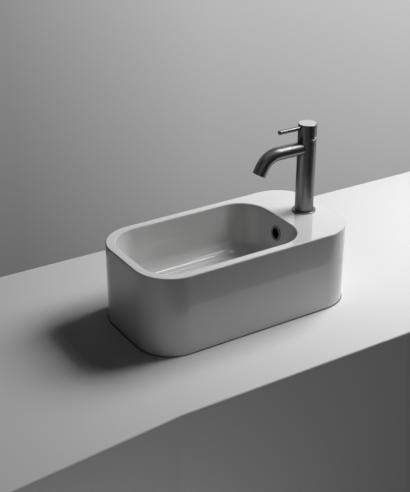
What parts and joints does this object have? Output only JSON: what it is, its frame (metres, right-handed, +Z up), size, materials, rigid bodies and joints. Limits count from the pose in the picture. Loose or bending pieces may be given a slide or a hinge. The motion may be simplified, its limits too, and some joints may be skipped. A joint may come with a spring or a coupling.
{
  "type": "washbasin",
  "caption": "Countertop washbasin: round-cornered glazed ceramic with an offset bowl, overflow, click waste and a single-lever mixer tap on the deck.",
  "frame": {"origin": "middle of the base, on the surface that the basin stands on", "axes": "+X along the length towards the tap, +Y to the back, +Z up"},
  "size_m": [0.45, 0.2364, 0.3375],
  "materials": {
    "glazed_white": "gloss white glaze",
    "brushed_steel": "dark brushed stainless steel",
    "waste_steel": "satin stainless steel",
    "bright_steel": "zinc plated steel",
    "brass": "machined brass",
    "rubber": "matt black rubber",
    "grey_plastic": "moulded acetal",
    "disc_ceramic": "lapped alumina"
  },
  "bodies": {
    "basin_unit": {"basin": "glazed_white", "overflow_ring": "brushed_steel", "waste_body": "waste_steel", "waste_flange_seal": "rubber", "waste_lower_seal": "rubber", "waste_back_nut": "brass", "click_housing": "grey_plastic", "click_spring": "bright_steel", "tap_body": "brushed_steel", "tap_base_ring": "brushed_steel", "base_gasket": "rubber", "horseshoe_gasket": "rubber", "horseshoe_plate": "bright_steel", "stud_nut": "brass", "mounting_stud": "bright_steel", "spout": "brushed_steel", "aerator_housing": "grey_plastic", "aerator_insert": "grey_plastic", "aerator_washer": "rubber", "cartridge_base": "grey_plastic", "cartridge_seals": "rubber", "fixed_disc": "disc_ceramic", "cartridge_housing": "grey_plastic", "cartridge_nut": "brass", "dome_cover": "brushed_steel"},
    "swivel": {"cartridge_carrier": "grey_plastic", "pivot_pin": "bright_steel"},
    "handle": {"cartridge_spindle": "brass", "handle_cap": "brushed_steel", "lever_pin": "brushed_steel", "handle_set_screw": "bright_steel"},
    "disc": {"moving_disc": "disc_ceramic", "disc_driver": "grey_plastic"},
    "plug": {"plug_cap": "waste_steel", "plug_seal": "rubber", "plug_stem": "grey_plastic"}
  },
  "joints": [
    {"name": "handle_swivel", "type": "hinge", "parent": "basin_unit", "child": "swivel", "pos_m": [0.178, 0, 0.3085], "axis": [0, 0, 1], "range_deg": [-45, 45]},
    {"name": "handle_lift", "type": "hinge", "parent": "swivel", "child": "handle", "pos_m": [0.178, 0, 0.3085], "axis": [0, 1, 0], "range_deg": [0, 20]},
    {"name": "disc_slide", "type": "slide", "parent": "swivel", "child": "disc", "axis": [1, 0, 0], "range_m": [-0.0035, 0]},
    {"name": "plug_press", "type": "slide", "parent": "basin_unit", "child": "plug", "axis": [0, 0, 1], "range_m": [-0.008, 0], "deforming": ["click_spring"]}
  ],
  "couplings": [
    {"joint": "disc_slide", "follows": "handle_lift", "m_per_rad": -0.0097982}
  ]
}
